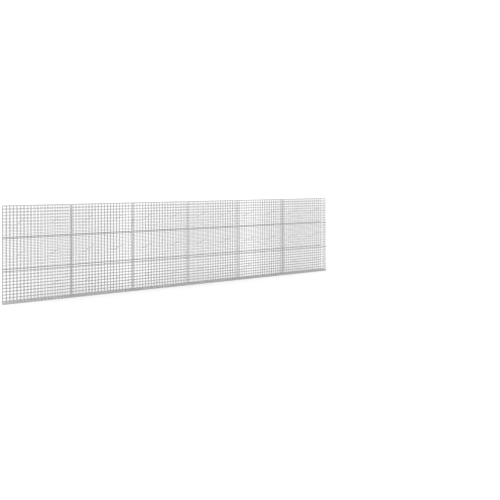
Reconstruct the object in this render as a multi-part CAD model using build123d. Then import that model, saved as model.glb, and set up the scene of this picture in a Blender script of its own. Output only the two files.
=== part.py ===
from build123d import *
import os

# A free-standing gabion wall of welded steel mesh, empty, in bays and tiers. It is open at the
# top, and at its left end, where the next bay is joined on.
# Millimetres. X runs along the wall, Y from front to back, Z up from the ground.
# The origin is the middle of the wall's footprint, on the ground.

# Bays and tiers
bay_count = 6
bay_cells = 20
tier_count = 3
tier_cells = 10

# Mesh, from wire centre to wire centre, with square cells
mesh_pitch = 50.0
wire = 8.0

# Room between the uprights of the front mesh and those of the back mesh
inner_depth = 200.0

# The uprights are cut short of the edge line wires, and the line wires and the base's
# long wires run on past the last upright, by these lengths
upright_setback = 1.0
line_wire_stub = 4.0

# Spacer ties: where they stand in a bay, their middle row, how many rows each end is
# above or below it, and the length of the tails
tie_wire = 5.0
tie_bay_shares = (0.25, 0.75)
tie_row = 5
tie_rise_rows = 1
tie_tail = 45.0
tie_clearance = 0.5

# Derived lengths
cell_columns = bay_count * bay_cells
depth_cells = round(inner_depth / mesh_pitch)
wall_length = cell_columns * mesh_pitch + wire
tier_height = tier_cells * mesh_pitch + wire
wall_height = tier_count * tier_height
half_length = wall_length / 2
half_line_wire = half_length + line_wire_stub
half_inner = inner_depth / 2
upright_plane = half_inner + wire / 2
line_plane = upright_plane + wire
partition_cells = round(wall_height / mesh_pitch)


def bar_x(x_from, x_to, y, z):
    """A wire along the wall, centred on y and z."""
    return Pos((x_from + x_to) / 2, y, z) * Box(x_to - x_from, wire, wire)


def bar_y(x, y_from, y_to, z):
    """A wire through the wall's depth, centred on x and z."""
    return Pos(x, (y_from + y_to) / 2, z) * Box(wire, y_to - y_from, wire)


def bar_z(x, y, z_from, z_to):
    """An upright wire, centred on x and y."""
    return Pos(x, y, (z_from + z_to) / 2) * Box(wire, wire, z_to - z_from)


def column_x(column):
    """Place along the wall of an upright's centre, counted from the left end."""
    return column * mesh_pitch + wire / 2 - half_length


def bay_line_x(bay_line):
    """Place along the wall of a partition."""
    return column_x(bay_line * bay_cells)


def row_z(tier, row):
    """Height of a line wire's centre, counted from the tier's lowest one."""
    return tier * tier_height + wire / 2 + row * mesh_pitch


def depth_y(step):
    """Place through the depth of a base wire's centre, counted from the front one."""
    pitch = (inner_depth - wire) / depth_cells
    return step * pitch + wire / 2 - half_inner


def face_uprights(y, tier):
    """The uprights of one tier of the front or back mesh."""
    z_from = tier * tier_height + upright_setback
    z_to = (tier + 1) * tier_height - upright_setback
    return [bar_z(column_x(i), y, z_from, z_to) for i in range(cell_columns + 1)]


def face_line_wires(y, tier):
    """The line wires of one tier of the front or back mesh, its two edge wires among them."""
    rows = range(tier_cells + 1)
    return [bar_x(-half_line_wire, half_line_wire, y, row_z(tier, row)) for row in rows]


def partition_uprights(bay_line):
    """A partition's inner uprights, in line with the two faces' own, on a base cross wire."""
    x = bay_line_x(bay_line)
    inner_steps = range(1, depth_cells)
    return [bar_z(x, depth_y(step), 2 * wire, wall_height) for step in inner_steps]


def partition_cross_wires(bay_line):
    """A partition's cross wires, from face to face along the left side of all its uprights."""
    x = bay_line_x(bay_line) - wire
    reach = half_inner + wire
    lowest = 2.5 * wire
    rise = (wall_height - wire / 2 - lowest) / partition_cells
    heights = [lowest + row * rise for row in range(partition_cells + 1)]
    return [bar_y(x, -reach, reach, z) for z in heights]


def base_long_wires():
    """The base's wires along the wall, lying on the ground."""
    steps = range(depth_cells + 1)
    return [bar_x(-half_line_wire, half_line_wire, depth_y(step), wire / 2) for step in steps]


def base_cross_wires():
    """The base's wires through the depth, lying on its long wires."""
    columns = range(cell_columns + 1)
    return [bar_y(column_x(i), -half_inner, half_inner, 1.5 * wire) for i in columns]


def spacer_tie(x, tier):
    """A tie from under a front line wire, down to over a back one, half a cell each side of x.

    Each tail crosses the outer side of its line wire, the front one upwards and the
    back one downwards, so that the two meshes can't spread.
    """
    tail_plane = line_plane + (wire + tie_wire) / 2
    seat = (wire + tie_wire) / 2 + tie_clearance
    front_wire_z = row_z(tier, tie_row + tie_rise_rows)
    back_wire_z = row_z(tier, tie_row - tie_rise_rows)
    front_x = x + mesh_pitch / 2
    back_x = x - mesh_pitch / 2
    path = Polyline(
        (front_x + tie_tail, -tail_plane, front_wire_z + seat),
        (front_x, -tail_plane, front_wire_z - seat),
        (back_x, tail_plane, back_wire_z + seat),
        (back_x - tie_tail, tail_plane, back_wire_z - seat),
    )
    end = Plane(origin=path @ 0, x_dir=(0, 1, 0), z_dir=path % 0)
    return sweep(end * Rectangle(tie_wire, tie_wire), path=path, transition=Transition.RIGHT)


def spacer_ties(tier):
    """All the ties of one tier."""
    ties = []
    for bay in range(bay_count):
        for share in tie_bay_shares:
            column = bay * bay_cells + round(share * bay_cells)
            ties.append(spacer_tie(column_x(column), tier))
    return ties


def panel_name(bay_line):
    """partition_1 and so on, and right_end."""
    if bay_line == bay_count:
        return "right_end"
    return f"partition_{bay_line}"


nodes = {}
for tier in range(tier_count):
    number = tier + 1
    nodes[f"front_uprights_tier_{number}"] = face_uprights(-upright_plane, tier)
    nodes[f"front_line_wires_tier_{number}"] = face_line_wires(-line_plane, tier)
    nodes[f"back_uprights_tier_{number}"] = face_uprights(upright_plane, tier)
    nodes[f"back_line_wires_tier_{number}"] = face_line_wires(line_plane, tier)
    nodes[f"spacer_ties_tier_{number}"] = spacer_ties(tier)
for bay_line in range(1, bay_count + 1):
    name = panel_name(bay_line)
    nodes[f"{name}_uprights"] = partition_uprights(bay_line)
    nodes[f"{name}_cross_wires"] = partition_cross_wires(bay_line)
nodes["base_long_wires"] = base_long_wires()
nodes["base_cross_wires"] = base_cross_wires()

os.makedirs("parts", exist_ok=True)
for name, wires in nodes.items():
    export_step(Compound(wires), f"parts/{name}.step")
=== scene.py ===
import math

import bpy
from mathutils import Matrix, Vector


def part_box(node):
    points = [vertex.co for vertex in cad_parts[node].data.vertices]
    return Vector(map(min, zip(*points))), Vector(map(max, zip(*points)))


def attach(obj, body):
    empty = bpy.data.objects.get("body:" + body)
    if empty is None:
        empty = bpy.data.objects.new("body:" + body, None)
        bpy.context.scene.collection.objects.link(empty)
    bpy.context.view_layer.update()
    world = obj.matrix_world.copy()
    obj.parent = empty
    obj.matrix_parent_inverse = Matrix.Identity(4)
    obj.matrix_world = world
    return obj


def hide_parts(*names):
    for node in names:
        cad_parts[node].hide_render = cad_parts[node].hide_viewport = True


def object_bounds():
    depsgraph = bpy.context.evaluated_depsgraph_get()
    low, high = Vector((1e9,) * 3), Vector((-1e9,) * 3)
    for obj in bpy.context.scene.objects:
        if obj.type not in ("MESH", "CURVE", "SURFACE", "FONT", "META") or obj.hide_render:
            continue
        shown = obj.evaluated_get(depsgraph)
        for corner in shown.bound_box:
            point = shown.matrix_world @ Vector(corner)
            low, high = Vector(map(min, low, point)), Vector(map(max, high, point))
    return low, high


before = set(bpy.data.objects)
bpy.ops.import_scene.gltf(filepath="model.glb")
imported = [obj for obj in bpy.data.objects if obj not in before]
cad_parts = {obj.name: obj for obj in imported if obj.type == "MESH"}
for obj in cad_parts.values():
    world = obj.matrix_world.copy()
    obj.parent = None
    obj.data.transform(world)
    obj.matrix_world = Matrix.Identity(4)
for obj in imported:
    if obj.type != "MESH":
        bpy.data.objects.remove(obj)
cad_low, cad_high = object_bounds()

# The base panel: five long wires on the ground and a cross wire on them at every cell, all
# of drawn steel wire, welded where they cross and then dipped in zinc. It is laid out first,
# and the other panels stand on it or against it.

mesh_pitch = 0.05
bays = 6
bay_cells = 20
columns = bays * bay_cells + 1
depth_wires = 5
base_low, base_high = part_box("base_cross_wires")
wire = base_high.z - base_low.z
first_column_x = base_low.x + wire / 2
depth_pitch = (base_high.y - base_low.y - wire) / (depth_wires - 1)
first_depth_y = base_low.y + wire / 2

wire_sides = 12
cut_end_bevel = 0.001
smooth_angle = math.radians(40)
axis_number = {"x": 0, "y": 1, "z": 2}
turn_from_z = {"x": (0, math.pi / 2, 0), "y": (math.pi / 2, 0, 0), "z": (0, 0, 0)}


def deselect_all():
    """Leaves nothing selected, so that an operator acts on the new piece alone."""
    bpy.ops.object.select_all(action="DESELECT")


def ease_cut_ends():
    """Takes the sharp edge off both cut ends, the only faces with more than four sides."""
    bpy.ops.mesh.select_mode(type="FACE")
    bpy.ops.mesh.select_all(action="DESELECT")
    bpy.ops.mesh.select_face_by_sides(number=4, type="GREATER")
    bpy.ops.mesh.bevel(offset=cut_end_bevel, segments=1, affect="EDGES")


def repeat(piece, count, step):
    """Copies the active piece along a step, as often as count says, in one mesh."""
    row = piece.modifiers.new("row", "ARRAY")
    row.count = count
    row.use_relative_offset = False
    row.use_constant_offset = True
    row.constant_offset_displace = step
    bpy.ops.object.modifier_apply(modifier=row.name)


def settle(piece, name, finish):
    """Puts the piece's place into its mesh, and gives it its name, finish and body."""
    piece.name = name
    piece.data.name = name
    bpy.ops.object.transform_apply(location=True, rotation=True, scale=True)
    bpy.ops.object.shade_smooth_by_angle(angle=smooth_angle)
    piece.data.materials.clear()
    piece.data.materials.append(finish)
    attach(piece, "root")


def lay_wires(node, along, across, count, name, finish):
    """Straight wires of a node's own length, spaced evenly over its width."""
    low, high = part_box(node)
    run, rank = axis_number[along], axis_number[across]
    place = (low + high) / 2
    place[rank] = low[rank] + wire / 2
    step = Vector((0, 0, 0))
    step[rank] = (high[rank] - low[rank] - wire) / (count - 1)
    deselect_all()
    bpy.ops.mesh.primitive_cylinder_add(
        vertices=wire_sides, radius=wire / 2, depth=high[run] - low[run], location=place
    )
    piece = bpy.context.object
    bpy.ops.object.mode_set(mode="EDIT")
    ease_cut_ends()
    bpy.ops.object.mode_set(mode="OBJECT")
    piece.rotation_euler = turn_from_z[along]
    bpy.ops.object.transform_apply(location=False, rotation=True, scale=False)
    repeat(piece, count, step)
    settle(piece, name, finish)
    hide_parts(node)


# A weld bead: from its middle to its corners, their rounding, how far its top and its foot
# draw in, and half its height.
bead_corner = 0.68 * wire
bead_rounding = 0.18 * wire
bead_toe = 0.6
bead_half_height = 0.26 * wire


def weld_beads(first, facing, rows, name, finish):
    """Zinc-covered beads squeezed out where two wires are welded, one shaped and then repeated."""
    deselect_all()
    bpy.ops.mesh.primitive_circle_add(vertices=4, radius=bead_corner, fill_type="NGON")
    piece = bpy.context.object
    piece.rotation_euler.z = math.radians(45)
    bpy.ops.object.transform_apply(location=False, rotation=True, scale=False)
    bpy.ops.object.mode_set(mode="EDIT")
    bpy.ops.mesh.bevel(offset=bead_rounding, segments=1, affect="VERTICES")
    bpy.ops.transform.translate(value=(0, 0, -bead_half_height))
    bpy.ops.transform.resize(value=(bead_toe, bead_toe, 1))
    for swell in (1 / bead_toe, bead_toe):
        bpy.ops.mesh.extrude_region_move(TRANSFORM_OT_translate={"value": (0, 0, bead_half_height)})
        bpy.ops.transform.resize(value=(swell, swell, 1))
    bpy.ops.mesh.select_all(action="SELECT")
    bpy.ops.mesh.normals_make_consistent(inside=False)
    bpy.ops.object.mode_set(mode="OBJECT")
    piece.rotation_euler = turn_from_z[facing]
    bpy.ops.object.transform_apply(location=False, rotation=True, scale=False)
    piece.location = first
    for count, step in rows:
        repeat(piece, count, step)
    settle(piece, name, finish)


class Tone:
    """One socket among a finish's nodes, so that its sums are written as on paper."""

    def __init__(self, tree, socket=None):
        self.tree = tree
        self.socket = socket

    def node(self, kind, settings, inputs, output=0):
        """Adds a node: its settings first, then the values or links of its sockets."""
        made = self.tree.nodes.new(kind)
        for name, value in settings.items():
            setattr(made, name, value)
        for key, value in inputs.items():
            if isinstance(value, Tone):
                self.tree.links.new(value.socket, made.inputs[key])
            else:
                made.inputs[key].default_value = value
        return Tone(self.tree, made.outputs[output])

    def sum(self, operation, *values):
        """Adds a Math node on these values."""
        return self.node("ShaderNodeMath", {"operation": operation}, dict(enumerate(values)))

    def __add__(self, other):
        return self.sum("ADD", self, other)

    def __radd__(self, other):
        return self.sum("ADD", other, self)

    def __sub__(self, other):
        return self.sum("SUBTRACT", self, other)

    def __rsub__(self, other):
        return self.sum("SUBTRACT", other, self)

    def __mul__(self, other):
        return self.sum("MULTIPLY", self, other)

    def __rmul__(self, other):
        return self.sum("MULTIPLY", other, self)

    def __mod__(self, other):
        return self.sum("FLOORED_MODULO", self, other)

    def blend(self, a, b):
        """A colour between a and b, which a mix node takes in at 6 and 7 and gives out at 2."""
        return self.node("ShaderNodeMix", {"data_type": "RGBA"}, {0: self, 6: a, 7: b}, 2)

    def noise(self, per_metre):
        """Soft noise, drawn at this place."""
        return self.node("ShaderNodeTexNoise", {}, {"Vector": self, "Scale": per_metre})


def bare_finish(name):
    """A new finish, and the place on the piece that its patterns are drawn at."""
    finish = bpy.data.materials.new(name)
    finish.use_nodes = True
    return finish, Tone(finish.node_tree).node("ShaderNodeTexCoord", {}, {}, "Object")


def lay_on(finish, colour, roughness, relief, metallic):
    """Gives a finish its colour, roughness, relief and share of metal."""
    shader = finish.node_tree.nodes["Principled BSDF"]
    bump = colour.node("ShaderNodeBump", {}, relief)
    for tone, socket in ((colour, "Base Color"), (roughness, "Roughness"), (bump, "Normal")):
        finish.node_tree.links.new(tone.socket, shader.inputs[socket])
    shader.inputs["Metallic"].default_value = metallic


# Each finish has three tones: dull, pale, and that of the thicker zinc at the welds. The base and
# the partitions, seen mostly in the crowded bottom band and along the bay lines, get paler tones
# than the outer faces: painted light that lifts the shade falling between their wires.
plain_tones = ((0.33, 0.332, 0.335, 1), (0.66, 0.661, 0.662, 1), (0.46, 0.46, 0.46, 1))
shade_lifted_tones = ((0.56, 0.562, 0.565, 1), (0.86, 0.86, 0.86, 1), (0.66, 0.66, 0.66, 1))
zinc_metallic = 0.4
crystals_per_metre = 230
bloom_per_metre = 9
grain_per_metre = 1100
lines_per_metre = 1700
line_stretch = 0.05
smoothest_zinc = 0.42
weld_spot_reach = 0.010
weld_spot_core = 0.003
weld_spot_strength = 0.7
weld_spot_roughness = 0.15
crystal_depth = 0.00012
crystal_relief = 0.5


def dipped_zinc(name, along, tones, *welds):
    """Dull dipped zinc on wire: crystal patches, drawing lines along it, plain spots at welds.

    Each of welds is the first weld's place along the wire and the pitch to the next. The
    numbers in the sums are each pattern's share.
    """
    dull, pale, thick = tones
    zinc, place = bare_finish(name)
    stretch = [1.0, 1.0, 1.0]
    stretch[axis_number[along]] = line_stretch
    drawn = place.node("ShaderNodeMapping", {}, {"Vector": place, "Scale": stretch})
    patches = {"Vector": place, "Scale": crystals_per_metre}
    crystals = place.node("ShaderNodeTexVoronoi", {}, patches, "Color")
    crystal = place.node("ShaderNodeSeparateColor", {}, {0: crystals})
    lines = drawn.noise(lines_per_metre)
    bloom = place.noise(bloom_per_metre)
    grain = place.noise(grain_per_metre)
    paleness = crystal * 0.6 + lines * 0.3 + bloom * 0.4 - 0.15
    colour = paleness.blend(dull, pale)
    roughness = smoothest_zinc + grain * 0.14 + crystal * 0.1
    run = place.node("ShaderNodeSeparateXYZ", {}, {0: place}, axis_number[along])
    for first_weld, pitch in welds:
        past_weld = (run + (pitch / 2 - first_weld)) % pitch - pitch / 2
        off_weld = past_weld.sum("ABSOLUTE", past_weld)
        fade = {"Value": off_weld, "From Min": weld_spot_reach, "From Max": weld_spot_core}
        spot = place.node("ShaderNodeMapRange", {"interpolation_type": "SMOOTHSTEP"}, fade)
        colour = (spot * weld_spot_strength).blend(colour, thick)
        roughness = roughness + spot * weld_spot_roughness
    height = crystal * 0.5 + lines * 0.3 + grain * 0.2
    relief = {"Strength": crystal_relief, "Distance": crystal_depth, "Height": height}
    lay_on(zinc, colour, roughness, relief, zinc_metallic)
    return zinc


bead_metallic = 0.35
bead_smoothest = 0.55
bead_relief = 0.6
drift_per_metre = 14


def thick_zinc(name, tones):
    """The zinc on a weld bead: thicker, without crystals and rougher than on the wire."""
    _, pale, thick = tones
    zinc, place = bare_finish(name)
    grain = place.noise(grain_per_metre)
    drift = place.noise(drift_per_metre)
    colour = (grain * 0.3 + drift * 0.3).blend(thick, pale)
    roughness = bead_smoothest + grain * 0.2
    relief = {"Strength": bead_relief, "Distance": crystal_depth, "Height": grain}
    lay_on(zinc, colour, roughness, relief, bead_metallic)
    return zinc


column_welds = (first_column_x, mesh_pitch)
depth_welds = (first_depth_y, depth_pitch)
# The base takes the paler tones: painted light that lifts the shade in the bottom band.
base_zinc = dipped_zinc("zinc_on_base_long_wires", "x", shade_lifted_tones, column_welds)
base_cross_zinc = dipped_zinc("zinc_on_base_cross_wires", "y", shade_lifted_tones, depth_welds)
inner_bead_zinc = thick_zinc("zinc_on_inner_beads", shade_lifted_tones)
to_next_column = (mesh_pitch, 0, 0)
to_next_depth = (0, depth_pitch, 0)

lay_wires("base_long_wires", "x", "y", depth_wires, "base_long", base_zinc)
lay_wires("base_cross_wires", "y", "x", columns, "base_cross", base_cross_zinc)
weld_beads(
    (first_column_x, first_depth_y, base_low.z),
    "z",
    [(columns, to_next_column), (depth_wires, to_next_depth)],
    "base_weld_beads",
    inner_bead_zinc,
)

# The partitions: panels across the wall, as high as all three tiers, one at each bay line but
# the first. Three inner uprights stand on a base cross wire, and the cross wires are welded to
# their left side and to that of the faces' own uprights, so that they hold the faces apart.

partition_names = [*(f"partition_{n}" for n in range(1, bays)), "right_end"]
partition_rows = 31
inner_uprights = depth_wires - 2
back_low, back_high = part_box("back_uprights_tier_1")
# From the front uprights to the back ones, which stand as far from the origin.
face_gap = back_low.y + back_high.y
cross_low, cross_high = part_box("right_end_cross_wires")
first_cross_z = cross_low.z + wire / 2
last_cross_z = cross_high.z - wire / 2
row_pitch = (last_cross_z - first_cross_z) / (partition_rows - 1)
row_welds = (first_cross_z, row_pitch)
# A cross wire is welded to the middle upright and the faces' own, and to the two between them.
through_welds = ((0, face_gap / 2), (depth_pitch, 2 * depth_pitch))
# The partitions take the paler tones: painted light that lifts the shade along the bay lines.
partition_zinc = dipped_zinc("zinc_on_partition_uprights", "z", shade_lifted_tones, row_welds)
through_zinc = dipped_zinc("zinc_on_partition_cross_wires", "y", shade_lifted_tones, *through_welds)
for name in partition_names:
    uprights, cross_wires = f"{name}_uprights", f"{name}_cross_wires"
    seam_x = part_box(uprights)[0].x
    lay_wires(uprights, "z", "y", inner_uprights, f"{name}_upright_wires", partition_zinc)
    lay_wires(cross_wires, "y", "z", partition_rows, f"{name}_through_wires", through_zinc)
    for place, count, pitch in (("inner", inner_uprights, depth_pitch), ("face", 2, face_gap)):
        weld_beads(
            (seam_x, -pitch * (count - 1) / 2, first_cross_z),
            "x",
            [(count, (0, pitch, 0)), (partition_rows, (0, 0, row_pitch))],
            f"{name}_{place}_weld_beads",
            inner_bead_zinc,
        )

# The back and front panels, three tiers of each, stacked with their edge line wires touching.
# Line wires lie on the outer side of the uprights, so that the fill bears on the uprights,
# and all of it is welded at every crossing.

tiers = 3
tier_rows = 11
line_zinc = dipped_zinc("zinc_on_line_wires", "x", plain_tones, column_welds)
bead_zinc = thick_zinc("zinc_on_weld_beads", plain_tones)


def row_z(tier, row):
    """Height of the middle of a line wire, counted from the tier's lowest one."""
    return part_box(f"front_line_wires_tier_{tier}")[0].z + wire / 2 + row * mesh_pitch


for tier in range(1, tiers + 1):
    tier_welds = (row_z(tier, 0), mesh_pitch)
    zinc = dipped_zinc(f"zinc_on_tier_{tier}_uprights", "z", plain_tones, tier_welds)
    for face, outer_side in (("back", 1), ("front", 0)):
        uprights, line_wires = f"{face}_uprights_tier_{tier}", f"{face}_line_wires_tier_{tier}"
        panel = f"{face}_panel_{tier}"
        lay_wires(uprights, "z", "x", columns, f"{panel}_uprights", zinc)
        lay_wires(line_wires, "x", "z", tier_rows, f"{panel}_line_wires", line_zinc)
        weld_beads(
            (first_column_x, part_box(uprights)[outer_side].y, row_z(tier, 0)),
            "y",
            [(columns, to_next_column), (tier_rows, (0, 0, mesh_pitch))],
            f"{panel}_weld_beads",
            bead_zinc,
        )

# Spacer ties: 5 mm wires hooked through the wall before it is filled, so that the fill can't
# spread the two faces. Each is bent at both ends, passes under a front line wire and over a
# back one, and its tails lie across the outer side of those wires.

tie_wire = 0.005
tie_sides = 10
tie_bend = 0.008
bend_steps = 5
tie_tail = 0.045
# From a line wire's middle up or down to the bend or the end of the tie that crosses it.
tie_seat = 0.007
ties_per_bay = 2
first_tie_column = 5
tie_spacing_cells = 10
tie_front_row = 6
tie_back_row = 4
tie_zinc = dipped_zinc("zinc_on_ties", "y", plain_tones)


def bent_wire(corners, thickness, bend, sides):
    """A wire bent round a former at each corner of its path, from one cut end to the other."""
    corners = [Vector(corner) for corner in corners]
    at = corners[0]
    heading = (corners[1] - at).normalized()
    deselect_all()
    bpy.ops.mesh.primitive_circle_add(
        vertices=sides,
        radius=thickness / 2,
        fill_type="NGON",
        location=at,
        rotation=heading.to_track_quat("Z", "Y").to_euler(),
    )
    piece = bpy.context.object
    bpy.ops.object.transform_apply(location=True, rotation=True, scale=True)
    bpy.ops.object.mode_set(mode="EDIT")
    for corner, beyond in zip(corners[1:-1], corners[2:]):
        turned = (beyond - corner).normalized()
        turn = heading.angle(turned)
        cut_back = bend * math.tan(turn / 2)
        bend_start = corner - heading * cut_back
        bpy.ops.mesh.extrude_region_move(TRANSFORM_OT_translate={"value": bend_start - at})
        axle = turned.cross(heading).normalized()
        centre = bend_start + heading.cross(axle) * bend
        bpy.ops.mesh.spin(steps=bend_steps, angle=turn, center=centre, axis=axle)
        at = corner + turned * cut_back
        heading = turned
    bpy.ops.mesh.extrude_region_move(TRANSFORM_OT_translate={"value": corners[-1] - at})
    ease_cut_ends()
    bpy.ops.mesh.select_all(action="SELECT")
    bpy.ops.mesh.normals_make_consistent(inside=False)
    bpy.ops.object.mode_set(mode="OBJECT")
    return piece


tie_x = first_column_x + first_tie_column * mesh_pitch
front_x, back_x = tie_x + mesh_pitch / 2, tie_x - mesh_pitch / 2
for tier in range(1, tiers + 1):
    node = f"spacer_ties_tier_{tier}"
    tail_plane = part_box(node)[1].y - tie_wire / 2
    front_z, back_z = row_z(tier, tie_front_row), row_z(tier, tie_back_row)
    ties = bent_wire(
        [
            (front_x + tie_tail, -tail_plane, front_z + tie_seat),
            (front_x, -tail_plane, front_z - tie_seat),
            (back_x, tail_plane, back_z + tie_seat),
            (back_x - tie_tail, tail_plane, back_z - tie_seat),
        ],
        tie_wire,
        tie_bend,
        tie_sides,
    )
    repeat(ties, ties_per_bay, (tie_spacing_cells * mesh_pitch, 0, 0))
    repeat(ties, bays, (bay_cells * mesh_pitch, 0, 0))
    settle(ties, f"spacer_ties_{tier}", tie_zinc)
    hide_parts(node)

# Clip rings: short C pieces of 3 mm galvanised spring wire, squeezed shut with pliers every
# four cells round the touching edge wires of two tiers, so that the upper tier can't shift.

clip_wire = 0.003
clip_sides = 8
clip_slack = 0.0003
clip_gap = 0.0012
clip_cells = 4
clip_step = clip_cells * mesh_pitch
clip_zinc = dipped_zinc("zinc_on_clip_rings", "z", plain_tones)
clip_bend = (wire + clip_wire) / 2
clip_half_width = clip_bend + clip_slack
clip_half_height = wire / 2 + clip_half_width
first_ring_cells = 2.5
first_ring_x = first_column_x + first_ring_cells * mesh_pitch
joint_rings = (columns - 1) // clip_cells
for face, outward in (("back", 1), ("front", -1)):
    line_low, line_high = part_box(f"{face}_line_wires_tier_1")
    line_y = (line_low.y + line_high.y) / 2
    inner_y = line_y - outward * clip_half_width
    outer_y = line_y + outward * clip_half_width
    ring_top = line_high.z + clip_half_height
    ring_foot = line_high.z - clip_half_height
    rings = bent_wire(
        [
            (first_ring_x, inner_y, line_high.z + clip_gap / 2),
            (first_ring_x, inner_y, ring_top),
            (first_ring_x, outer_y, ring_top),
            (first_ring_x, outer_y, ring_foot),
            (first_ring_x, inner_y, ring_foot),
            (first_ring_x, inner_y, line_high.z - clip_gap / 2),
        ],
        clip_wire,
        clip_bend,
        clip_sides,
    )
    repeat(rings, joint_rings, (clip_step, 0, 0))
    repeat(rings, tiers - 1, (0, 0, line_high.z - line_low.z))
    settle(rings, f"{face}_clip_rings", clip_zinc)

# The stage: a plain pale floor that keeps the wall's shadow, white all round, and one broad
# soft lamp. The floor is lifted to white only where the camera or the zinc sees it.

floor_half = 60
floor_colour = (0.9, 0.9, 0.9, 1)
floor_roughness = 0.9
floor_lift = 0.2
deselect_all()
bpy.ops.mesh.primitive_plane_add(size=2 * floor_half, location=(0, 0, cad_low.z))
floor = bpy.context.object
floor.name = "floor"
floor_paint = bpy.data.materials.new("pale_floor")
floor_paint.use_nodes = True
floor_tree = floor_paint.node_tree
floor_shader = floor_tree.nodes["Principled BSDF"]
floor_shader.inputs["Base Color"].default_value = floor_colour
floor_shader.inputs["Roughness"].default_value = floor_roughness
floor_shader.inputs["Specular IOR Level"].default_value = 0.0
seen = Tone(floor_tree).node("ShaderNodeLightPath", {}, {}, "Is Camera Ray")
mirrored = Tone(floor_tree).node("ShaderNodeLightPath", {}, {}, "Is Glossy Ray")
lift = (seen + mirrored) * floor_lift
floor_tree.links.new(lift.socket, floor_shader.inputs["Emission Color"])
floor_shader.inputs["Emission Strength"].default_value = 1.0
floor.data.materials.append(floor_paint)

white = (1, 1, 1, 1)
surround = bpy.data.worlds.new("white_surround")
surround.use_nodes = True
bpy.context.scene.world = surround
sky = surround.node_tree.nodes["Background"]
sky.inputs["Color"].default_value = white
sky.inputs["Strength"].default_value = 1.0

lamp_strength = 0.25
lamp_spread = math.radians(60)
lamp_turn = (math.radians(38), math.radians(-14), math.radians(-25))
lamp = bpy.data.lights.new("soft_sun", "SUN")
lamp.energy = lamp_strength
lamp.angle = lamp_spread
lamp_stand = bpy.data.objects.new("soft_sun", lamp)
lamp_stand.rotation_euler = lamp_turn
bpy.context.scene.collection.objects.link(lamp_stand)

# The camera: it stands about nine metres in front of the wall's left end, a little above eye
# height, and looks level and to the right. Its lens is shifted to place the wall in the picture.

frame_pixels = 500
sensor = 36.0
focal_pixels = 531.71
centre_column = 292.49
horizon_row = 177.65
camera_yaw = math.radians(30.398)
camera_place = (-3.2965, -9.4415, 1.9622)
camera = bpy.data.cameras.new("camera")
camera.sensor_width = sensor
camera.lens = focal_pixels / frame_pixels * sensor
camera.shift_x = (frame_pixels / 2 - centre_column) / frame_pixels
camera.shift_y = (horizon_row - frame_pixels / 2) / frame_pixels
camera_stand = bpy.data.objects.new("camera", camera)
camera_stand.location = camera_place
camera_stand.rotation_euler = (math.pi / 2, 0, -camera_yaw)
bpy.context.scene.collection.objects.link(camera_stand)
bpy.context.scene.camera = camera_stand
bpy.context.scene.view_settings.view_transform = "Standard"
